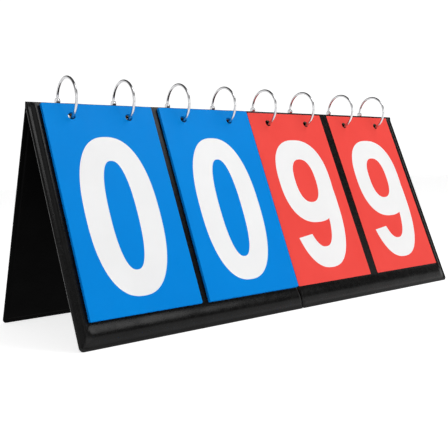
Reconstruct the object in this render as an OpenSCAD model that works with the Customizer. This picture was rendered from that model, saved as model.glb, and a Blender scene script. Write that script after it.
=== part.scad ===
// Flip scoring board: a padded A-frame that stands on its lower edges.
// X runs along the ridge, -Y is the playing side, Z is up, and the floor is Z = 0.

/* [Board] */
// Whole length along the ridge
board_w = 385; // [300:1:450]
// Slope length of one panel, from the ridge line to the floor
slope_len = 173; // [140:1:220]
// Angle between the front and the back panel
spread = 44; // [30:1:70]
// Thickness of the stiff chipboard
core_t = 1.4; // [1:0.1:2]
// Thickness of the padded cover and of the lining
skin_t = 0.5; // [0.3:0.1:0.8]
// Width of the welded edge round the chipboard
weld_w = 5.5; // [3:0.5:7]
// Radius of the panel's free corners
corner_r = 3; // [1:0.5:8]
// Width of the centre crease
crease_w = 2.4; // [1.6:0.2:4]
// Diameter of the ring holes in the panels
board_hole_d = 7; // [6:0.5:9]

/* [Cards] */
// Width of a card
card_w = 87.3; // [70:0.1:95]
// Height of a card
card_h = 152.5; // [120:1:165]
// Thickness of one card
card_t = 0.15; // [0.1:0.05:0.3]
// Distance from one card to the next in a stack
card_pitch = 0.24; // [0.2:0.02:0.4]
// Middle of the innermost card above the panel
first_gap = 0.2; // [0.15:0.05:0.5]
// Distance of the cards' upper edges from the ridge line
card_top = 2.4; // [1:0.2:6]
// Diameter of the holes in the cards
card_hole_d = 5.6; // [5:0.2:8]
// Left edges of the four stacks, from the middle of the board
stack_x = [-182.7, -88.55, 1.3, 97.85];
// Distances of the two holes from a card's left edge
hole_x = [20.5, 65.8];
// Thickness of the printed numerals
print_t = 0.04; // [0.02:0.01:0.06]

/* [Numerals] */
// Width of the numeral 0
zero_w = 58; // [40:1:66]
// Width of the numerals 8 and 9
nine_w = 61; // [40:1:66]
// Height of a numeral
num_h = 116; // [80:1:125]
// Width of a numeral's strokes
stroke = 18.2; // [10:0.2:22]
// Height of the bowl of a 9
bowl_h = 76; // [60:1:80]
// Distance of the numerals from the cards' left edges
num_left = 13.3; // [8:0.1:20]
// Distance of the numerals' upper ends from the cards' upper edges
num_top = 25.2; // [15:0.2:35]
// Squareness of the numerals' curves, 2 for an ellipse
curve = 2.4; // [2:0.1:3]

/* [Rings] */
// Radius of a ring, to the middle of its wire
ring_r = 14.9; // [12:0.1:16]
// Radius of the wire
wire_r = 1.05; // [0.8:0.05:1.2]
// Height of the rings' middles above the ridge line
ring_rise = 2.4; // [2:0.1:4]
// Radius of the ring hinge's knuckle
knuckle_r = 1.8; // [1.5:0.1:2.2]
// Radius of the ring hinge's pin
pin_r = 0.7; // [0.5:0.1:1]

/* [Hidden] */
half = spread / 2;
ridge_z = slope_len * cos(half);
board_t = core_t + 2 * skin_t;
// the panels' inner upper edges meet on the ridge fold
top_s = board_t / tan(half);
hole_s = 11.6;
pin_fit = 0.05;
knuckle_w = 1.4;
lug_w = 0.8;
lug_fit = 0.1;
strip_t = 0.5;
strip_s = 5.5;
reach = 20;
$fn = 64;

sides = ["left", "right"];
stacks = ["blue_tens", "blue_ones", "red_tens", "red_ones"];
BLUE = [0.01, 0.24, 0.73];
RED = [0.90, 0.09, 0.08];
WHITE = [0.93, 0.93, 0.92];
BLACK = [0.03, 0.03, 0.035];
BOARD = [0.45, 0.38, 0.30];
STEEL = [0.75, 0.76, 0.78];

function ring_x(n) = stack_x[floor((n - 1) / 2)] + hole_x[(n - 1) % 2];

// ---------- placing ----------

// children stand in a panel's plane: outer face at y = 0, ridge line at z = 0, outside at -y
module on_panel(f) {
    translate([0, 0, ridge_z])
        mirror([0, f == "back" ? 1 : 0, 0]) rotate([-half, 0, 0]) children();
}

// a flat outline drawn with x along the ridge and y up the slope, d0 to d1 out of the panel
module slab(d0, d1) {
    translate([0, -d0, 0]) rotate([90, 0, 0]) linear_extrude(d1 - d0) children();
}

module above_floor() {
    difference() {
        children();
        translate([-board_w, -board_w, -reach]) cube([2 * board_w, 2 * board_w, reach]);
    }
}

// ---------- panels ----------

module half_outline(side, inset) {
    x0 = crease_w / 2 + inset;
    x1 = board_w / 2 - inset;
    // below the floor line the panel is trimmed level, so its round corner ends there
    z0 = -slope_len + inset;
    mirror([side == "left" ? 1 : 0, 0]) difference() {
        translate([x0, z0]) square([x1 - x0, -top_s - z0]);
        translate([x1, z0]) mirror([1, 0]) difference() {
            translate([-1, -1]) square(corner_r + 1);
            translate([corner_r, corner_r]) circle(corner_r);
        }
    }
}

module ring_holes(d) {
    for (n = [1 : 8]) translate([ring_x(n), 0, -hole_s]) rotate([90, 0, 0])
        cylinder(d = d, h = 2 * reach, center = true);
}

module panel_layer(f, side, d0, d1, inset) {
    above_floor() on_panel(f) difference() {
        slab(d0, d1) half_outline(side, inset);
        ring_holes(board_hole_d);
    }
}

module cover(f, side) {
    color(BLACK) {
        above_floor() on_panel(f) difference() {
            slab(-skin_t - core_t, 0) half_outline(side, 0);
            slab(-skin_t - core_t - 1, -skin_t) half_outline(side, weld_w);
            ring_holes(board_hole_d);
        }
    }
}

module core(f, side) {
    color(BOARD) panel_layer(f, side, -skin_t - core_t, -skin_t, weld_w);
}

module lining(f, side) {
    color(BLACK) panel_layer(f, side, -board_t, -skin_t - core_t, 0);
}

// half of the soft cap over the ridge: it ends at the plane between the two panels
module ridge_strip(f, side) {
    x0 = crease_w / 2;
    m = side == "left" ? 1 : 0;
    color(BLACK) difference() {
        translate([0, 0, ridge_z]) mirror([m, 0, 0]) mirror([0, f == "back" ? 1 : 0, 0])
            translate([x0, 0, 0]) rotate([90, 0, 90]) linear_extrude(board_w / 2 - x0)
                polygon([
                    [-0.02, 0], [-0.02, -strip_t / sin(half)],
                    [-top_s * sin(half) + strip_t * cos(half),
                     -top_s * cos(half) - strip_t * sin(half)],
                    [-top_s * sin(half), -top_s * cos(half)]
                ]);
        on_panel(f) ring_holes(board_hole_d);
    }
}

// the thin web in the centre crease, fixed to the left half
module centre_strip(f) {
    web = crease_w / 2 - 0.1;
    color(BLACK) above_floor() on_panel(f)
        slab(-board_t / 2 - strip_t / 2, -board_t / 2 + strip_t / 2)
            translate([-crease_w / 2, -slope_len - 1])
                square([crease_w / 2 + web, slope_len + 1 - top_s]);
}

// ---------- cards ----------

function layer_front(n) = first_gap + (9 - n) * card_pitch;
function layer_back(n) = first_gap + n * card_pitch;

module card_outline(k) {
    r = 0.6;
    translate([stack_x[k], -card_top - card_h]) difference() {
        square([card_w, card_h]);
        for (h = hole_x) translate([h, card_h + card_top - hole_s]) circle(d = card_hole_d);
        for (a = [0, 1]) for (b = [0, 1])
            translate([a * card_w, b * card_h]) mirror([a, 0]) mirror([0, b]) difference() {
                translate([-1, -1]) square(r + 1);
                translate([r, r]) circle(r);
            }
    }
}

// cards first to last in one solid, on the front or the back
module cards(k, f, d0, d1) {
    color(k < 2 ? BLUE : RED) on_panel(f)
        slab(d0 - card_t / 2, d1 + card_t / 2) card_outline(k);
}

// ---------- numerals ----------

// an oval with fuller shoulders than an ellipse, standing on y = 0
module oval(w, h) {
    function bent(v) = sign(v) * pow(abs(v), 2 / curve);
    polygon([for (a = [0 : 3 : 357]) [w * (1 + bent(cos(a))) / 2, h * (1 + bent(sin(a))) / 2]]);
}

module counter(w, h) {
    translate([stroke, stroke]) oval(w - 2 * stroke, h - 2 * stroke);
}

module loop(w, h) {
    difference() {
        oval(w, h);
        counter(w, h);
    }
}

// the hook of the 9: its right arm and the tail, cut slanting
module hook() {
    thin = 2.5;
    tail_h = num_h * 0.235;
    difference() {
        oval(nine_w, num_h);
        translate([stroke - thin, stroke])
            oval(nine_w - 2 * (stroke - thin), num_h - 2 * stroke);
        polygon([
            [-1, tail_h], [stroke, tail_h + 2.8], [nine_w / 2, tail_h + 2.8],
            [nine_w / 2, num_h + 1], [-1, num_h + 1]
        ]);
    }
}

module numeral_shape(n) {
    if (n == 0) loop(zero_w, num_h);
    if (n == 1) {
        translate([zero_w / 2 - 4, 0]) square([stroke, num_h]);
        translate([zero_w / 2 - 18, num_h - 36]) square([20, 15]);
    }
    if (n == 8) {
        loop(nine_w, num_h * 0.56);
        translate([0, num_h * 0.44]) loop(nine_w, num_h * 0.56);
    }
    if (n == 9) {
        difference() {
            union() {
                translate([0, num_h - bowl_h]) oval(nine_w, bowl_h);
                hook();
            }
            translate([0, num_h - bowl_h]) counter(nine_w, bowl_h);
        }
    }
}

module numeral(k, n, f, d) {
    color(WHITE) on_panel(f) slab(d, d + print_t)
        translate([stack_x[k] + num_left, -card_top - num_top - num_h])
            numeral_shape(n);
}

// ---------- rings ----------

module on_ring(n) {
    translate([ring_x(n), 0, ridge_z + ring_rise]) children();
}

// half of the wire, with its end cut back from the hinge at the rear
module half_wire() {
    difference() {
        rotate([90, 0, 90]) rotate_extrude(angle = 180) translate([ring_r, 0]) circle(wire_r);
        translate([0, ring_r, 0]) rotate([0, 90, 0])
            cylinder(r = knuckle_r + 0.1, h = 4 * knuckle_r, center = true);
    }
}

module ring_lower_half(n) {
    span = knuckle_w / 2 + lug_fit;
    color(STEEL) on_ring(n) {
        mirror([0, 0, 1]) translate([0, 0, 0.02]) half_wire();
        translate([0, ring_r, 0]) rotate([0, 90, 0]) {
            cylinder(r = pin_r, h = 2 * (span + lug_w), center = true);
            for (s = [-1, 1]) translate([0, 0, s * (span + lug_w / 2)])
                cylinder(r = knuckle_r, h = lug_w, center = true);
        }
        // the arms that carry the two lugs
        for (s = [-1, 1]) translate([s * (span + lug_w / 2) - lug_w / 2, ring_r - 0.6, -3.2])
            cube([lug_w, 1.2, 2.4]);
        translate([-span - lug_w, ring_r - 0.9, -3.4]) cube([2 * (span + lug_w), 1.4, 1.2]);
    }
}

module ring_upper_half(n) {
    color(STEEL) on_ring(n) {
        half_wire();
        difference() {
            union() {
                translate([0, ring_r, 0]) rotate([0, 90, 0])
                    cylinder(r = knuckle_r, h = knuckle_w, center = true);
                translate([-knuckle_w / 2, ring_r - 0.6, 0.8]) cube([knuckle_w, 1.2, 2.2]);
            }
            translate([0, ring_r, 0]) rotate([0, 90, 0])
                cylinder(r = pin_r + pin_fit, h = 2 * knuckle_w, center = true);
        }
    }
}

// ---------- the assembly ----------

for (f = ["front", "back"]) {
    for (s = sides) {
        cover(f, s);
        core(f, s);
        lining(f, s);
        ridge_strip(f, s);
    }
    centre_strip(f);
}

for (k = [0, 1]) {
    top = layer_front(0);
    cards(k, "front", top, top);
    numeral(k, 0, "front", top + card_t / 2);
    cards(k, "front", layer_front(9), layer_front(1));
    numeral(k, 1, "front", layer_front(1) + card_t / 2);
}

for (k = [2, 3]) {
    low = layer_front(9);
    last = layer_back(8);
    cards(k, "front", low, low);
    numeral(k, 9, "front", low + card_t / 2);
    cards(k, "back", last, last);
    numeral(k, 8, "back", last - card_t / 2 - print_t);
    cards(k, "back", layer_back(0), layer_back(7));
}

for (n = [1 : 8]) {
    ring_lower_half(n);
    ring_upper_half(n);
}
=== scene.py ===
"""Flip scoring board: a padded black A-frame with numeral cards on chrome rings.

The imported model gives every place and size. This file adds the soft vinyl panels, the
loose sheets of each stack, the bright rings, the finishes, the camera and the light.
"""
import logging
import math
from collections.abc import Callable, Iterable, Sequence
from dataclasses import dataclass, field
from enum import Enum

import bmesh
import bpy
import numpy as np
from mathutils import Matrix, Vector


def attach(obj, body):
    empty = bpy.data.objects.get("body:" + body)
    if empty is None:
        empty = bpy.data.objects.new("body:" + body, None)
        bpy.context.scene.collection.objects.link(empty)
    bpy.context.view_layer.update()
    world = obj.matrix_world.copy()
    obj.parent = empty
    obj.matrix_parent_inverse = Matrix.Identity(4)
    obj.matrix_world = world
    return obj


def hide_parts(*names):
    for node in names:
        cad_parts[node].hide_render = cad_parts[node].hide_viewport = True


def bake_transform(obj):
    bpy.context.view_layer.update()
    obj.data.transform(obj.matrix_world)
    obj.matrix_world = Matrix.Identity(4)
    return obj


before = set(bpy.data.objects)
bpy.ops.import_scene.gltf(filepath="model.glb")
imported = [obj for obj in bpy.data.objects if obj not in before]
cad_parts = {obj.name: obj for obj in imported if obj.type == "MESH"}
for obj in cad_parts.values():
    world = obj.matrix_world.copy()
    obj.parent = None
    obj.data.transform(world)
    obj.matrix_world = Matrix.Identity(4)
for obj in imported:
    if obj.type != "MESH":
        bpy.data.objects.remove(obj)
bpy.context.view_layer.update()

LOG = logging.getLogger("scoring_board")
MM = 0.001
# a direction along which no two parts of a mesh line up
ORDER = Vector((1.0, 0.6180, 0.4142))

RGB = tuple[float, float, float]


class Face(Enum):
    """The two panels of the A-frame."""

    FRONT = "front"
    BACK = "back"


class Side(Enum):
    """The two halves that the centre crease parts."""

    LEFT = "left"
    RIGHT = "right"


class Turn(Enum):
    """Which half of a ring: the one through the holes, or the one that opens."""

    LOWER = "lower_half"
    UPPER = "upper_half"


# ---------------------------------------------------------------------------
# Sizes, in millimetres unless a name says otherwise
# ---------------------------------------------------------------------------


@dataclass(frozen=True)
class Board:
    """Driving sizes of the A-frame, as in the solid model."""

    width: float = 385.0
    slope: float = 173.0
    half_spread: float = math.radians(22.0)
    thickness: float = 2.4
    hole_s: float = 11.6
    hole_d: float = 7.0

    @property
    def ridge_z(self) -> float:
        """Height of the ridge line above the floor."""
        return self.slope * math.cos(self.half_spread)

    @property
    def top_s(self) -> float:
        """Slope distance from the ridge line to the chipboard's upper edge."""
        return self.thickness / math.tan(self.half_spread)


@dataclass(frozen=True)
class Stack:
    """One stack of numeral cards."""

    name: str
    left: float
    side: Side
    red: bool


BOARD = Board()
CARD_W, CARD_H, CARD_T, CARD_PITCH = 87.3, 152.5, 0.15, 0.24
CARD_TOP, CARD_GAP, CARD_HOLE_D = 2.4, 0.2, 5.6
HOLE_X = (20.5, 65.8)
STACKS = (
    Stack("blue_tens", -182.7, Side.LEFT, False),
    Stack("blue_ones", -88.55, Side.LEFT, False),
    Stack("red_tens", 1.3, Side.RIGHT, True),
    Stack("red_ones", 97.85, Side.RIGHT, True),
)
RING_R, RING_RISE, WIRE_R = 14.9, 2.4, 1.05


@dataclass(frozen=True)
class Slope:
    """Places points given along the ridge, down the slope and out of a panel."""

    face: Face

    def at(self, u: float, s: float, n: float) -> Vector:
        """Turn panel coordinates into a place in the frame.

        Args:
            u: Distance along the ridge from the middle, in millimetres.
            s: Distance down the slope from the ridge line, in millimetres.
            n: Distance out of the panel's outer face, in millimetres.

        Returns:
            The point in metres.
        """
        sin, cos = math.sin(BOARD.half_spread), math.cos(BOARD.half_spread)
        y = -s * sin - n * cos
        z = BOARD.ridge_z - s * cos + n * sin
        return Vector((u, y if self.face is Face.FRONT else -y, z)) * MM


# ---------------------------------------------------------------------------
# Finishes
# ---------------------------------------------------------------------------


@dataclass
class Shader:
    """A node material under construction, with one Principled shader."""

    name: str
    material: bpy.types.Material = field(init=False)
    principled: bpy.types.ShaderNode = field(init=False)

    def __post_init__(self) -> None:
        self.material = bpy.data.materials.new(self.name)
        self.material.use_nodes = True
        self.principled = self.material.node_tree.nodes["Principled BSDF"]

    def node(self, kind: str, **values: object) -> bpy.types.ShaderNode:
        """Add a node.

        Args:
            kind: The node's type name.
            values: Input sockets by name, with spaces as underscores.

        Returns:
            The new node.
        """
        made = self.material.node_tree.nodes.new(kind)
        for key, value in values.items():
            made.inputs[key.replace("_", " ")].default_value = value
        return made

    def link(self, source: bpy.types.NodeSocket, target: bpy.types.NodeSocket) -> None:
        """Join two sockets.

        Args:
            source: The output socket.
            target: The input socket.
        """
        self.material.node_tree.links.new(source, target)

    def base(self, **values: object) -> None:
        """Set the Principled shader's constants.

        Args:
            values: Input sockets by name, with spaces as underscores.
        """
        for key, value in values.items():
            self.principled.inputs[key.replace("_", " ")].default_value = value

    def noise(self, scale: float, detail: float = 3.0,
              stretch: Sequence[float] = (1, 1, 1)) -> bpy.types.NodeSocket:
        """Add a noise pattern on the piece's own coordinates.

        Args:
            scale: Patterns per metre.
            detail: Octaves of finer noise.
            stretch: Scale along X, Y and Z before the noise.

        Returns:
            The pattern's factor socket.
        """
        place = self.node("ShaderNodeTexCoord")
        mapping = self.node("ShaderNodeMapping", Scale=stretch)
        made = self.node("ShaderNodeTexNoise", Scale=scale, Detail=detail)
        self.link(place.outputs["Object"], mapping.inputs["Vector"])
        self.link(mapping.outputs["Vector"], made.inputs["Vector"])
        return made.outputs["Fac"]

    def cells(self, scale: float) -> bpy.types.NodeSocket:
        """Add the pebbled cell pattern of embossed vinyl.

        Args:
            scale: Cells per metre.

        Returns:
            The distance socket, low in the middle of a cell.
        """
        place = self.node("ShaderNodeTexCoord")
        made = self.node("ShaderNodeTexVoronoi", Scale=scale)
        made.feature = "SMOOTH_F1"
        self.link(place.outputs["Object"], made.inputs["Vector"])
        return made.outputs["Distance"]

    def span(self, factor: bpy.types.NodeSocket, low: float, high: float,
             target: bpy.types.NodeSocket) -> None:
        """Drive a value from a pattern.

        Args:
            factor: The pattern, about 0.3 to 0.7.
            low: The value where the pattern is low.
            high: The value where the pattern is high.
            target: The socket to drive.
        """
        made = self.node("ShaderNodeMapRange", From_Min=0.3, From_Max=0.7,
                         To_Min=low, To_Max=high)
        self.link(factor, made.inputs["Value"])
        self.link(made.outputs["Result"], target)

    def tint(self, factor: bpy.types.NodeSocket, low: RGB, high: RGB) -> None:
        """Colour the piece between two tones.

        Args:
            factor: The pattern, about 0.3 to 0.7.
            low: The colour where the pattern is low.
            high: The colour where the pattern is high.
        """
        ramp = self.node("ShaderNodeValToRGB")
        ramp.color_ramp.elements[0].position = 0.3
        ramp.color_ramp.elements[1].position = 0.7
        ramp.color_ramp.elements[0].color = (*low, 1)
        ramp.color_ramp.elements[1].color = (*high, 1)
        self.link(factor, ramp.inputs["Fac"])
        self.link(ramp.outputs["Color"], self.principled.inputs["Base Color"])

    def bump(self, layers: Iterable[tuple[bpy.types.NodeSocket, float, float]]) -> None:
        """Stack bump patterns.

        Args:
            layers: Pattern, strength and depth in metres of each, coarse first.
        """
        normal = None
        for height, strength, depth in layers:
            made = self.node("ShaderNodeBump", Strength=strength, Distance=depth)
            self.link(height, made.inputs["Height"])
            if normal is not None:
                self.link(normal, made.inputs["Normal"])
            normal = made.outputs["Normal"]
        self.link(normal, self.principled.inputs["Normal"])


@dataclass(frozen=True)
class Vinyl:
    """Embossed black vinyl: pebble grain over slow waves, with a plasticky sheen."""

    name: str
    low: RGB = (0.002, 0.002, 0.002)
    high: RGB = (0.0045, 0.0044, 0.0042)
    rough: tuple[float, float] = (0.22, 0.32)
    coat: float = 0.06
    shine: float = 0.15

    def make(self) -> bpy.types.Material:
        """Build the material.

        Returns:
            The finished material.
        """
        s = Shader(self.name)
        s.base(IOR=1.5, Specular_IOR_Level=self.shine, Coat_Weight=self.coat,
               Coat_Roughness=0.18)
        s.tint(s.noise(60, 4), self.low, self.high)
        s.span(s.noise(240, 3), *self.rough, s.principled.inputs["Roughness"])
        s.bump([(s.noise(45, 2), 0.3, 0.0006), (s.noise(420, 3, (1, 0.3, 0.3)), 0.14, 0.0002),
                (s.cells(1300), 0.2, 0.0001), (s.noise(3800, 2), 0.12, 0.00004)])
        return s.material


@dataclass(frozen=True)
class Sheet:
    """Smooth printed plastic sheet."""

    name: str
    low: RGB
    high: RGB
    rough: tuple[float, float] = (0.36, 0.46)

    def make(self) -> bpy.types.Material:
        """Build the material.

        Returns:
            The finished material.
        """
        s = Shader(self.name)
        s.base(IOR=1.46, Specular_IOR_Level=0.05)
        s.tint(s.noise(25, 3), self.low, self.high)
        s.span(s.noise(130, 4, (1, 1, 0.25)), *self.rough, s.principled.inputs["Roughness"])
        s.bump([(s.noise(9, 1), 0.12, 0.0006), (s.noise(2600, 2), 0.06, 0.00002)])
        return s.material


@dataclass(frozen=True)
class Chrome:
    """Bright plated wire with faint drawing lines and rubbed spots."""

    name: str

    def make(self) -> bpy.types.Material:
        """Build the material.

        Returns:
            The finished material.
        """
        s = Shader(self.name)
        s.base(Metallic=1.0)
        s.tint(s.noise(300, 3), (0.50, 0.50, 0.51), (0.68, 0.68, 0.69))
        s.span(s.noise(900, 4), 0.07, 0.2, s.principled.inputs["Roughness"])
        s.bump([(s.noise(1500, 3, (0.2, 1, 1)), 0.05, 0.00003)])
        return s.material


@dataclass(frozen=True)
class Chipboard:
    """Grey-brown pressed board with flecks."""

    name: str

    def make(self) -> bpy.types.Material:
        """Build the material.

        Returns:
            The finished material.
        """
        s = Shader(self.name)
        s.base(Roughness=0.9)
        s.tint(s.noise(500, 5), (0.20, 0.15, 0.10), (0.36, 0.29, 0.21))
        s.bump([(s.noise(900, 4), 0.4, 0.0002)])
        return s.material


@dataclass(frozen=True)
class Ground:
    """The pale studio floor."""

    name: str

    def make(self) -> bpy.types.Material:
        """Build the material.

        Returns:
            The finished material.
        """
        s = Shader(self.name)
        s.base(Roughness=0.75, Specular_IOR_Level=0.25, Emission_Color=(1, 1, 1, 1),
               Emission_Strength=0.75)
        s.tint(s.noise(3, 2), (0.90, 0.90, 0.90), (0.93, 0.93, 0.93))
        return s.material


@dataclass(frozen=True)
class Finishes:
    """Every finish of the object."""

    cover: bpy.types.Material
    lining: bpy.types.Material
    board: bpy.types.Material
    blue: bpy.types.Material
    red: bpy.types.Material
    ink: bpy.types.Material
    chrome: bpy.types.Material

    @classmethod
    def make(cls) -> "Finishes":
        """Build all the materials.

        Returns:
            The set of finishes.
        """
        return cls(
            cover=Vinyl("black_padded_vinyl").make(),
            lining=Vinyl("black_lining_vinyl", (0.0008, 0.0008, 0.0008),
                         (0.0016, 0.0016, 0.0016), (0.45, 0.6), 0.0, 0.03).make(),
            board=Chipboard("chipboard").make(),
            blue=Sheet("blue_sheet", (0.000, 0.225, 0.690), (0.000, 0.240, 0.72)).make(),
            red=Sheet("red_sheet", (0.84, 0.068, 0.056), (0.88, 0.078, 0.064)).make(),
            ink=Sheet("white_print", (0.86, 0.86, 0.86), (0.90, 0.90, 0.90),
                      (0.42, 0.52)).make(),
            chrome=Chrome("chrome_wire").make(),
        )


# ---------------------------------------------------------------------------
# Mesh tools
# ---------------------------------------------------------------------------


def settle(bm: bmesh.types.BMesh) -> None:
    """Put a mesh in an order that is the same in every run.

    Some operators give their results in an order that changes, and a face with many
    corners is split into triangles from whichever corner it starts at.

    Args:
        bm: The mesh.
    """
    for face in [face for face in bm.faces if len(face.verts) > 4]:
        verts = list(face.verts)
        start = min(range(len(verts)), key=lambda i: verts[i].co.dot(ORDER))
        bm.faces.remove(face)
        bm.faces.new(verts[start:] + verts[:start])
    bm.verts.sort(key=lambda vert: vert.co.dot(ORDER))
    bm.faces.sort(key=lambda face: face.calc_center_median().dot(ORDER))


def finished(bm: bmesh.types.BMesh, name: str, material: bpy.types.Material,
             smooth_angle: float = math.radians(35)) -> bpy.types.Object:
    """Turn a bmesh into a shaded object at the origin.

    Args:
        bm: The mesh, in metres. It is freed.
        name: The piece's name.
        material: Its finish.
        smooth_angle: Edges sharper than this stay sharp.

    Returns:
        The object, linked to the scene.
    """
    settle(bm)
    bmesh.ops.recalc_face_normals(bm, faces=bm.faces)
    if bm.calc_volume(signed=True) < 0:
        bmesh.ops.reverse_faces(bm, faces=bm.faces)
    mesh = bpy.data.meshes.new(name)
    bm.to_mesh(mesh)
    bm.free()
    mesh.materials.append(material)
    mesh.shade_smooth()
    mesh.set_sharp_from_angle(angle=smooth_angle)
    made = bpy.data.objects.new(name, mesh)
    bpy.context.scene.collection.objects.link(made)
    LOG.info("%s: %d faces", name, len(mesh.polygons))
    return made


def edges_of(bm: bmesh.types.BMesh,
             verts: Iterable[bmesh.types.BMVert]) -> list[bmesh.types.BMEdge]:
    """List the edges that touch some vertices, in the mesh's own order.

    Args:
        bm: The mesh.
        verts: The vertices.

    Returns:
        The edges, without repeats.
    """
    chosen = set(verts)
    return [edge for edge in bm.edges if chosen.intersection(edge.verts)]


def smooth_step(x: np.ndarray | float, low: float, high: float) -> np.ndarray:
    """Rise smoothly from 0 at low to 1 at high.

    Args:
        x: Where to read the step.
        low: Start of the rise.
        high: End of the rise.

    Returns:
        Values from 0 to 1.
    """
    t = np.clip((np.asarray(x, float) - low) / (high - low), 0, 1)
    return t * t * (3 - 2 * t)


def bell(x: np.ndarray, peak: float, before: float, after: float) -> np.ndarray:
    """Give a smooth bump of height 1.

    Args:
        x: Where to read the bump.
        peak: Place of the top.
        before: Width of the rise.
        after: Width of the fall.

    Returns:
        Values from 0 to 1.
    """
    return smooth_step(x, peak - before, peak) * (1 - smooth_step(x, peak, peak + after))


def spaced(parts: Sequence[tuple[float, float, float]]) -> np.ndarray:
    """List places along a line with a step of its own in each stretch.

    Args:
        parts: Start, end and step of each stretch, end to end.

    Returns:
        The places, without repeats.
    """
    out: list[float] = []
    for low, high, step in parts:
        count = max(1, round((high - low) / step))
        out += list(np.linspace(low, high, count, endpoint=False))
    return np.array([*out, parts[-1][1]])


# ---------------------------------------------------------------------------
# Panels
# ---------------------------------------------------------------------------


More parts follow.
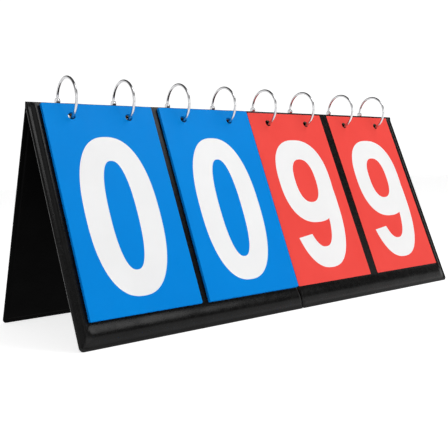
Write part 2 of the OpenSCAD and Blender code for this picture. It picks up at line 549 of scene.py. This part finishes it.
@dataclass
class PaddedPanel:
    """One stiff half of a panel, wrapped in padded vinyl with a welded edge."""

    face: Face
    side: Side
    finish: Finishes
    crease_edge: float = 0.5
    seat: float = 172.2
    corner: float = 3.0
    corner_reach: float = 9.0
    least: float = 0.4
    cutter_length: float = 12.0
    hole_segments: int = 48

    def edges(self) -> tuple[np.ndarray, np.ndarray]:
        """Lay out the grid lines, close together along the borders.

        Returns:
            Distances from the outer end and from the lower edge.
        """
        span = BOARD.width / 2 - self.crease_edge
        rise = self.seat - BOARD.top_s
        across = spaced([(0, 0.6, 0.15), (0.6, 6, 0.36), (6, 16, 0.8), (16, span - 4, 4),
                         (span - 4, span - 0.8, 0.5), (span - 0.8, span, 0.16)])
        along = spaced([(0, 0.6, 0.15), (0.6, 6, 0.36), (6, 24, 0.9), (24, rise - 2, 4),
                        (rise - 2, rise, 0.4)])
        return across, along

    def outer(self, d_out: np.ndarray, d_low: np.ndarray, d_in: np.ndarray,
              d_top: np.ndarray) -> np.ndarray:
        """Height of the padded face out of the flat panel.

        Args:
            d_out: Distances from the outer end.
            d_low: Distances from the lower edge.
            d_in: Distances from the centre crease.
            d_top: Distances from the ridge edge.

        Returns:
            Heights in millimetres.
        """
        edge = np.minimum(d_out, d_low)
        height = -0.62 * (1 - smooth_step(edge, 2.6, 4.6))
        # the weld shows as a groove along the free end, and is rolled under below
        height -= 0.30 * bell(d_out, 3.3, 0.7, 0.8)
        height += 0.18 * bell(d_out, 1.3, 0.9, 0.9)
        height -= 0.50 * (1 - smooth_step(edge, -0.25, 0.45)) ** 2
        height -= 0.35 * (1 - smooth_step(d_low, -0.4, 2.0)) ** 2
        swell_end = 0.80 * bell(d_out, 6.0, 2.2, 3.6) * smooth_step(d_low, 3.0, 9)
        swell_low = 1.25 * bell(d_low, 8.0, 6.6, 9.0) * smooth_step(d_out, 3.3, 9)
        ripple = 0.12 * np.sin(d_out * 0.19) * np.sin(d_out * 0.071 + 1.3)
        height += np.maximum(swell_end, swell_low * (1 + ripple))
        height -= 0.95 * (1 - smooth_step(d_in, -0.4, 2.4)) ** 2
        height -= 0.03 * (1 - smooth_step(d_top, 0.0, 0.6))
        return height

    def inner(self, d_out: np.ndarray, d_low: np.ndarray, d_in: np.ndarray,
              d_top: np.ndarray) -> np.ndarray:
        """Height of the lining, on the same scale.

        Args:
            d_out: Distances from the outer end.
            d_low: Distances from the lower edge.
            d_in: Distances from the centre crease.
            d_top: Distances from the ridge edge.

        Returns:
            Heights in millimetres.
        """
        edge = np.minimum(d_out, d_low)
        height = -BOARD.thickness + 0.58 * (1 - smooth_step(edge, 3.2, 4.2))
        height += 0.14 * bell(edge, 3.0, 0.6, 0.6)
        height += 0.40 * (1 - smooth_step(edge, -0.25, 0.45)) ** 2
        height += 0.45 * (1 - smooth_step(d_in, -0.4, 1.6)) ** 2
        height += 0.10 * (1 - smooth_step(d_top, 0.0, 1.0))
        return height

    def rounded(self, d_out: np.ndarray, d_low: np.ndarray) -> tuple[np.ndarray, np.ndarray]:
        """Pull the grid in round the free corner.

        Args:
            d_out: Distances from the outer end.
            d_low: Distances from the lower edge.

        Returns:
            The moved distances.
        """
        reach, r = self.corner_reach, self.corner
        a, b = np.clip(reach - d_out, 0, None), np.clip(reach - d_low, 0, None)
        far, near = np.maximum(a, b), np.minimum(a, b)
        slope = np.divide(near, far, out=np.zeros_like(far), where=far > 0)
        c = reach - r
        # where the ray through the point leaves the rounded corner
        k = 1 + slope * slope
        m = c * (1 + slope)
        root = np.sqrt(np.clip(m * m - k * (2 * c * c - r * r), 0, None))
        leave = np.where(slope * reach > c, (m + root) / k, reach)
        scale = 1 + (leave / reach - 1) * (far / reach) ** 2
        return (np.where(a > 0, reach - a * scale, d_out),
                np.where(b > 0, reach - b * scale, d_low))

    def shell(self) -> bmesh.types.BMesh:
        """Make the closed padded form, without its holes.

        Returns:
            The mesh, in metres.
        """
        across, along = self.edges()
        d_out, d_low = np.meshgrid(across, along, indexing="ij")
        d_in = across[-1] - d_out
        d_top = along[-1] - d_low
        x_out, x_low = self.rounded(d_out, d_low)
        sign = -1 if self.side is Side.LEFT else 1
        u = sign * (BOARD.width / 2 - x_out)
        s = self.seat - x_low
        slope = Slope(self.face)
        bm = bmesh.new()
        sheets = []
        under = self.inner(d_out, d_low, d_in, d_top)
        # where the edges' dips meet, the two sheets still stay this far apart
        over = np.maximum(self.outer(d_out, d_low, d_in, d_top), under + self.least)
        for n in (over, under):
            sheets.append([[bm.verts.new(slope.at(u[i, j], s[i, j], n[i, j]))
                            for j in range(len(along))] for i in range(len(across))])
        last_i, last_j = len(across) - 1, len(along) - 1
        for grid in sheets:
            for i in range(last_i):
                for j in range(last_j):
                    bm.faces.new((grid[i][j], grid[i + 1][j],
                                  grid[i + 1][j + 1], grid[i][j + 1]))
        top, bottom = sheets
        rim = ([(i, 0) for i in range(last_i)] + [(last_i, j) for j in range(last_j)]
               + [(i, last_j) for i in range(last_i, 0, -1)]
               + [(0, j) for j in range(last_j, 0, -1)])
        for (i, j), (p, q) in zip(rim, rim[1:] + rim[:1]):
            bm.faces.new((top[i][j], top[p][q], bottom[p][q], bottom[i][j]))
        bmesh.ops.recalc_face_normals(bm, faces=bm.faces)
        return bm

    def punches(self) -> bmesh.types.BMesh:
        """Make the round cutters of this half's ring holes.

        Returns:
            The mesh of all the cutters.
        """
        slope = Slope(self.face)
        bm = bmesh.new()
        axis = (slope.at(0, 0, 1) - slope.at(0, 0, 0)).normalized()
        turn = axis.to_track_quat("Z", "Y").to_matrix().to_4x4()
        for u in ring_places(self.side):
            place = Matrix.Translation(slope.at(u, BOARD.hole_s, -1)) @ turn
            bmesh.ops.create_cone(bm, cap_ends=True, segments=self.hole_segments,
                                  depth=self.cutter_length * MM,
                                  radius1=BOARD.hole_d / 2 * MM,
                                  radius2=BOARD.hole_d / 2 * MM, matrix=place)
        return bm

    def make(self) -> bpy.types.Object:
        """Make the half panel and give it to its body.

        Returns:
            The finished object.
        """
        name = f"{self.face.value}_{self.side.value}_padded_panel"
        body = f"{self.face.value}_{self.side.value}"
        made = finished(self.shell(), name, self.finish.cover)
        cutter = finished(self.punches(), "cutter", self.finish.lining)
        modifier = made.modifiers.new("holes", "BOOLEAN")
        modifier.operation, modifier.solver, modifier.object = "DIFFERENCE", "MANIFOLD", cutter
        graph = bpy.context.evaluated_depsgraph_get()
        cut = bpy.data.meshes.new_from_object(made.evaluated_get(graph))
        made.modifiers.clear()
        made.data = cut
        bpy.data.objects.remove(cutter)
        cut.materials.clear()
        cut.materials.append(self.finish.cover)
        cut.materials.append(self.finish.lining)
        inward = Slope(self.face).at(0, 0, -1) - Slope(self.face).at(0, 0, 0)
        for polygon in cut.polygons:
            polygon.material_index = int(polygon.normal.dot(inward) > 0.5 * inward.length)
        cut.set_sharp_from_angle(angle=math.radians(50))
        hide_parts(f"{body}_cover", f"{body}_lining")
        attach(made, body)
        return made


def ring_places(side: Side | None = None) -> list[float]:
    """List where the rings stand along the ridge.

    Args:
        side: One half of the board, or None for both.

    Returns:
        Distances from the middle, left to right.
    """
    return [s.left + x for s in STACKS if side in (None, s.side) for x in HOLE_X]


@dataclass
class RidgeStrip:
    """The soft strip over one half of the ridge, shaped over the ridge line between the two
    panels.
    """

    side: Side
    finish: Finishes
    lip: float = 6.3
    skin: float = 0.55
    bend: float = 0.45
    inner_bend: float = 0.2
    end_zone: float = 12.5

    def profile(self, relief: float) -> list[tuple[float, float]]:
        """Outline of the strip, seen along the ridge.

        Args:
            relief: Height of the panels' outer faces here, out of the flat face.

        Returns:
            Y and Z in millimetres, from the ridge line, as a closed loop.
        """
        half = BOARD.half_spread
        lean, rise = math.sin(half), math.cos(half)

        def band(offset: float, radius: float, shape: float) -> list[tuple[float, float]]:
            """Follow one side of the strip over the ridge.

            Args:
                offset: Height out of the panels' flat faces.
                radius: Radius of the round top.
                shape: Relief of the flanks, on top of the offset.

            Returns:
                Y and Z in millimetres, from the front to the back.
            """
            # the round top's middle, where both straight flanks are tangent to it
            middle = (offset - radius) / lean
            down = [(-s * lean - n * rise, -s * rise + n * lean)
                    for s, n in ((self.lip, offset + shape), (5.2, offset + shape),
                                 (4.0, offset + 0.9 * shape), (2.6, offset + 0.4 * shape))]
            arc = [(radius * math.sin(a), middle + radius * math.cos(a))
                   for a in np.linspace(-(math.pi / 2 - half), math.pi / 2 - half, 9)]
            return down + arc + [(-y, z) for y, z in reversed(down)]

        return band(0.02, self.bend, relief) + band(-self.skin, self.inner_bend,
                                                      min(relief, 0))[::-1]

    def make(self) -> bpy.types.Object:
        """Make the strip and bend it between the two panels.

        Returns:
            The finished object.
        """
        sign = -1 if self.side is Side.LEFT else 1
        panel = PaddedPanel(Face.FRONT, self.side, self.finish)
        end = BOARD.width / 2
        places = spaced([(0.1, 0.7, 0.2), (0.7, end - self.end_zone, 2.6),
                         (end - self.end_zone, end, 0.3)])
        inland = np.array(99.0)
        bm = bmesh.new()
        rings = []
        for x in places:
            relief = float(panel.outer(np.array(end - x), inland,
                                       np.array(x - panel.crease_edge), inland))
            sag = 0.06 * math.sin(x * 0.21) * math.sin(x * 0.047 + 0.6)
            rings.append([bm.verts.new(Vector((sign * x, y, BOARD.ridge_z + z + sag)) * MM)
                          for y, z in self.profile(relief)])
        count = len(self.profile(0.0))
        for near, far in zip(rings, rings[1:]):
            for i in range(count):
                k = (i + 1) % count
                bm.faces.new((near[i], near[k], far[k], far[i]))
        bm.faces.new(rings[0])
        bm.faces.new(rings[-1][::-1])
        name = f"ridge_strip_{self.side.value}"
        made = finished(bm, name, self.finish.cover, math.radians(60))
        front, back = f"front_{self.side.value}", f"back_{self.side.value}"
        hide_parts(f"{front}_ridge_strip", f"{back}_ridge_strip")
        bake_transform(made)
        return made


@dataclass
class CreaseWeb:
    """The thin flexible web at the bottom of the front crease."""

    finish: Finishes
    half_width: float = 0.46
    lower_end: float = 171.6

    def make(self) -> bpy.types.Object:
        """Make the web and bend it between the two front halves.

        Returns:
            The finished object.
        """
        slope = Slope(Face.FRONT)
        bm = bmesh.new()
        rows = []
        for s in spaced([(BOARD.top_s, self.lower_end, 3.5)]):
            dip = [(-self.half_width, -1.15), (-0.2, -1.35), (0.2, -1.35),
                   (self.half_width, -1.15), (self.half_width, -1.6), (0.2, -1.8),
                   (-0.2, -1.8), (-self.half_width, -1.6)]
            rows.append([bm.verts.new(slope.at(u, s, n)) for u, n in dip])
        for near, far in zip(rows, rows[1:]):
            for i in range(len(near)):
                k = (i + 1) % len(near)
                bm.faces.new((near[i], near[k], far[k], far[i]))
        bm.faces.new(rows[0])
        bm.faces.new(rows[-1][::-1])
        made = finished(bm, "front_crease_web", self.finish.cover)
        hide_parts("front_centre_strip")
        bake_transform(made)
        return made


# ---------------------------------------------------------------------------
# Cards
# ---------------------------------------------------------------------------


@dataclass
class LooseStack:
    """The lower cards of a stack, as separate punched sheets a little out of line."""

    stack: Stack
    finish: Finishes
    corner: float = 0.6
    corner_steps: int = 4
    slip: tuple[float, float] = (0.30, 0.28)

    def sheet(self, bm: bmesh.types.BMesh, face: Face, level: float,
              shift: tuple[float, float]) -> None:
        """Add one sheet.

        Args:
            bm: The mesh to add to.
            face: The panel it hangs on.
            level: Middle of the sheet above the panel.
            shift: How far it lies to the right and down, in millimetres.
        """
        slope = Slope(face)
        left, top = self.stack.left + shift[0], CARD_TOP + shift[1]
        r, loops, outline = self.corner, [], []
        for cu, cs, start in ((CARD_W - r, r, -90), (CARD_W - r, CARD_H - r, 0),
                              (r, CARD_H - r, 90), (r, r, 180)):
            for step in range(self.corner_steps + 1):
                a = math.radians(start + step * 90 / self.corner_steps)
                outline.append((cu + r * math.cos(a), cs + r * math.sin(a)))
        loops.append(outline)
        for x in HOLE_X:
            loops.append([(x + CARD_HOLE_D / 2 * math.cos(a),
                           BOARD.hole_s - CARD_TOP + CARD_HOLE_D / 2 * math.sin(a))
                          for a in np.linspace(0, math.tau, 32, endpoint=False)])
        edges = []
        for loop in loops:
            verts = [bm.verts.new(slope.at(left + u, top + s, level - CARD_T / 2))
                     for u, s in loop]
            edges += [bm.edges.new((a, b)) for a, b in zip(verts, verts[1:] + verts[:1])]
        faces = [g for g in bmesh.ops.triangle_fill(bm, use_beauty=True, edges=edges)["geom"]
                 if isinstance(g, bmesh.types.BMFace)]
        raised = bmesh.ops.extrude_face_region(bm, geom=faces)["geom"]
        out = slope.at(0, 0, CARD_T) - slope.at(0, 0, 0)
        bmesh.ops.translate(bm, vec=out,
                            verts=[g for g in raised if isinstance(g, bmesh.types.BMVert)])

    def make(self) -> bpy.types.Object:
        """Make the sheets and give them to the panel they hang on.

        Returns:
            The finished object.
        """
        red = self.stack.red
        face = Face.BACK if red else Face.FRONT
        node = f"{self.stack.name}_" + ("cards_0_to_7" if red else "cards_1_to_9")
        count = 8 if red else 9
        bm = bmesh.new()
        for k in range(count):
            # the outermost sheet lies true, under its numeral
            slack = 0 if k == count - 1 else 1
            turn = 2.3 * k + self.stack.left
            shift = (self.slip[0] * slack * math.sin(turn),
                     self.slip[1] * slack * math.cos(1.7 * turn))
            self.sheet(bm, face, CARD_GAP + k * CARD_PITCH, shift)
        made = finished(bm, f"{self.stack.name}_loose_cards",
                        self.finish.red if red else self.finish.blue, math.radians(30))
        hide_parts(node)
        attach(made, f"{face.value}_{self.stack.side.value}")
        return made


# ---------------------------------------------------------------------------
# Rings
# ---------------------------------------------------------------------------


@dataclass
class RingHalf:
    """Half of a hinged wire ring."""

    number: int
    turn: Turn
    finish: Finishes
    segments: int = 20
    steps: int = 48
    lock_angle: float = math.radians(0.35)
    hinge_angle: float = math.radians(170.5)
    barrel_r: float = 1.8
    pin_r: float = 0.7

    def make(self) -> bpy.types.Object:
        """Make the wire and its part of the hinge.

        Returns:
            The finished object.
        """
        x = ring_places()[self.number - 1]
        centre = Vector((x, 0, BOARD.ridge_z + RING_RISE)) * MM
        up = 1 if self.turn is Turn.UPPER else -1
        bm = bmesh.new()
        self.wire(bm, up)
        self.hinge(bm, up)
        bmesh.ops.translate(bm, vec=centre, verts=bm.verts)
        made = finished(bm, f"ring_{self.number}_wire_{self.turn.value}",
                        self.finish.chrome, math.radians(45))
        body = f"ring_{self.number}" + ("_top" if self.turn is Turn.UPPER else "")
        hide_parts(f"ring_{self.number}_{self.turn.value}")
        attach(made, body)
        return made

    def wire(self, bm: bmesh.types.BMesh, up: int) -> None:
        """Sweep the wire from the lock at the front to the hinge at the rear.

        Args:
            bm: The mesh to add to.
            up: 1 for the upper half, -1 for the lower half.
        """
        start, end = self.lock_angle, self.hinge_angle
        circle = bmesh.ops.create_circle(bm, segments=self.segments, radius=WIRE_R * MM,
                                         cap_ends=True)["verts"]
        # the circle faces along Z at the front of the ring
        bmesh.ops.translate(bm, vec=(0, -RING_R * MM, 0), verts=circle)
        axis = Vector((-1, 0, 0)) * up
        bmesh.ops.rotate(bm, cent=(0, 0, 0), matrix=Matrix.Rotation(start, 3, axis),
                         verts=circle)
        cap = list(circle[0].link_faces)
        copy = bmesh.ops.duplicate(bm, geom=cap)["geom"]
        faces = [g for g in copy if isinstance(g, bmesh.types.BMFace)]
        bmesh.ops.spin(bm, geom=faces + [e for f in faces for e in f.edges]
                       + [v for f in faces for v in f.verts],
                       cent=(0, 0, 0), axis=axis, angle=end - start, steps=self.steps,
                       use_merge=False)
        bmesh.ops.remove_doubles(bm, verts=bm.verts, dist=1e-7)

    def hinge(self, bm: bmesh.types.BMesh, up: int) -> None:
        """Add the knuckle of the upper half, or the pin and lugs of the lower half.

        Args:
            bm: The mesh to add to.
            up: 1 for the upper half, -1 for the lower half.
        """
        lugs = [(-1.2, 0.8, self.barrel_r), (1.2, 0.8, self.barrel_r), (0.0, 3.3, self.pin_r)]
        parts = [(0.0, 1.4, self.barrel_r)] if up > 0 else lugs
        for at, width, radius in parts:
            place = Matrix.Translation((at * MM, RING_R * MM, 0)) @ Matrix.Rotation(
                math.pi / 2, 4, "Y")
            barrel = bmesh.ops.create_cone(bm, cap_ends=True, segments=28,
                                           radius1=radius * MM, radius2=radius * MM,
                                           depth=width * MM, matrix=place)["verts"]
            ends = [e for e in edges_of(bm, barrel)
                    if abs(e.verts[0].co.x - e.verts[1].co.x) < 1e-7]
            bmesh.ops.bevel(bm, geom=ends, offset=0.15 * MM, offset_type="OFFSET",
                            segments=2, profile=0.5, affect="EDGES", material=-1)
        self.arms(bm, up)

    def arms(self, bm: bmesh.types.BMesh, up: int) -> None:
        """Add the flat tongue, or fork, that joins the wire to its hinge barrels.

        Args:
            bm: The mesh to add to.
            up: 1 for the upper half, -1 for the lower half.
        """
        spans = [(-0.7, 0.7)] if up > 0 else [(-1.6, -0.8), (0.8, 1.6)]
        boxes = [(low, high, 0.9, 3.0) for low, high in spans]
        if up < 0:
            boxes.append((-1.6, 1.6, 2.2, 3.4))
        for low, high, near, far in boxes:
            cube = bmesh.ops.create_cube(bm, size=1)["verts"]
            bmesh.ops.scale(bm, vec=((high - low) * MM, 1.2 * MM, (far - near) * MM),
                            verts=cube)
            bmesh.ops.translate(bm, verts=cube, vec=(
                (low + high) / 2 * MM, (RING_R - 0.1) * MM, up * (near + far) / 2 * MM))
            bmesh.ops.bevel(bm, geom=edges_of(bm, cube), offset=0.18 * MM, offset_type="OFFSET",
                            segments=2, profile=0.5, affect="EDGES", material=-1)


# ---------------------------------------------------------------------------
# The whole object
# ---------------------------------------------------------------------------


@dataclass
class ScoringBoard:
    """All the pieces of the object."""

    finish: Finishes

    def carried_over(self) -> None:
        """Give every kept solid its finish."""
        rules: tuple[tuple[Callable[[str], bool], bpy.types.Material], ...] = (
            (lambda n: "numeral" in n, self.finish.ink),
            (lambda n: n.startswith("blue"), self.finish.blue),
            (lambda n: n.startswith("red"), self.finish.red),
            (lambda n: n.startswith("ring"), self.finish.chrome),
            (lambda n: n.endswith("core"), self.finish.board),
            (lambda n: True, self.finish.cover),
        )
        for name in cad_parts:
            piece = bpy.data.objects[name]
            material = next(m for fits, m in rules if fits(name))
            for slot in piece.material_slots:
                slot.material = material
            LOG.info("%s: %s", name, material.name)

    def make(self) -> None:
        """Make every piece."""
        self.carried_over()
        for face in Face:
            for side in Side:
                PaddedPanel(face, side, self.finish).make()
        for side in Side:
            RidgeStrip(side, self.finish).make()
        CreaseWeb(self.finish).make()
        for stack in STACKS:
            LooseStack(stack, self.finish).make()
        for number in range(1, len(ring_places()) + 1):
            for turn in Turn:
                RingHalf(number, turn, self.finish).make()


# ---------------------------------------------------------------------------
# Studio
# ---------------------------------------------------------------------------


@dataclass(frozen=True)
class SoftLight:
    """One square studio light."""

    name: str
    place: RGB
    size: float
    power: float
    aim: RGB = (0.0, 0.0, 0.08)

    def make(self) -> None:
        """Hang the light."""
        data = bpy.data.lights.new(self.name, "AREA")
        data.shape, data.size, data.energy = "SQUARE", self.size, self.power
        lamp = bpy.data.objects.new(self.name, data)
        lamp.location = self.place
        back = Vector(self.place) - Vector(self.aim)
        lamp.rotation_mode = "QUATERNION"
        lamp.rotation_quaternion = back.to_track_quat("Z", "Y")
        bpy.context.scene.collection.objects.link(lamp)
        LOG.info("%s: %.1f W", self.name, self.power)


@dataclass(frozen=True)
class Studio:
    """Floor, surround, lights and camera."""

    lights: tuple[SoftLight, ...] = (
        SoftLight("key_light", (-0.9, -0.7, 1.1), 0.8, 1.6),
        SoftLight("front_light", (-0.1, -1.5, 0.6), 0.9, 2.0),
        SoftLight("top_light", (0.66, -0.66, 1.35), 0.8, 8.5),
    )
    horizon: float = 1.1
    overhead: float = 0.1
    fade_from: float = 0.27
    fade_to: float = 0.42
    floor_size: float = 12.0
    lens: float = 55.75
    camera_at: RGB = (-0.3820, -0.4478, 0.1054)
    right: RGB = (0.7812, -0.6235, -0.0323)
    forward: RGB = (0.6206, 0.7811, -0.0683)

    def surround(self) -> None:
        """Light the object from a room that is white all round and dim overhead."""
        world = bpy.data.worlds.new("surround")
        world.use_nodes = True
        tree = world.node_tree
        place = tree.nodes.new("ShaderNodeTexCoord")
        parts = tree.nodes.new("ShaderNodeSeparateXYZ")
        level = tree.nodes.new("ShaderNodeMapRange")
        for name, value in (("From Min", self.fade_from), ("From Max", self.fade_to),
                            ("To Min", self.horizon), ("To Max", self.overhead)):
            level.inputs[name].default_value = value
        sky = tree.nodes["Background"]
        sky.inputs["Color"].default_value = (1, 1, 1, 1)
        tree.links.new(place.outputs["Generated"], parts.inputs["Vector"])
        tree.links.new(parts.outputs["Z"], level.inputs["Value"])
        tree.links.new(level.outputs["Result"], sky.inputs["Strength"])
        bpy.context.scene.world = world

    def floor(self) -> None:
        """Lay the pale floor."""
        bm = bmesh.new()
        bmesh.ops.create_grid(bm, x_segments=4, y_segments=4, size=self.floor_size)
        made = finished(bm, "floor", Ground("pale_floor").make())

    def camera(self) -> None:
        """Set up the camera."""
        data = bpy.data.cameras.new("camera")
        data.sensor_width, data.lens = 36.0, self.lens
        data.clip_start, data.clip_end = 0.01, 100.0
        forward = Vector(self.forward).normalized()
        right = Vector(self.right)
        right = (right - right.dot(forward) * forward).normalized()
        up = right.cross(forward)
        turn = Matrix((right, up, -forward)).transposed().to_4x4()
        made = bpy.data.objects.new("camera", data)
        made.matrix_world = Matrix.Translation(self.camera_at) @ turn
        bpy.context.scene.collection.objects.link(made)
        bpy.context.scene.camera = made

    def make(self) -> None:
        """Set up everything round the object."""
        bpy.context.scene.view_settings.view_transform = "Standard"
        self.surround()
        self.floor()
        for light in self.lights:
            light.make()
        self.camera()


def main() -> None:
    """Build the object and its studio."""
    logging.basicConfig(level=logging.INFO, format="%(message)s")
    ScoringBoard(Finishes.make()).make()
    Studio().make()


if __name__ == "__main__":
    main()
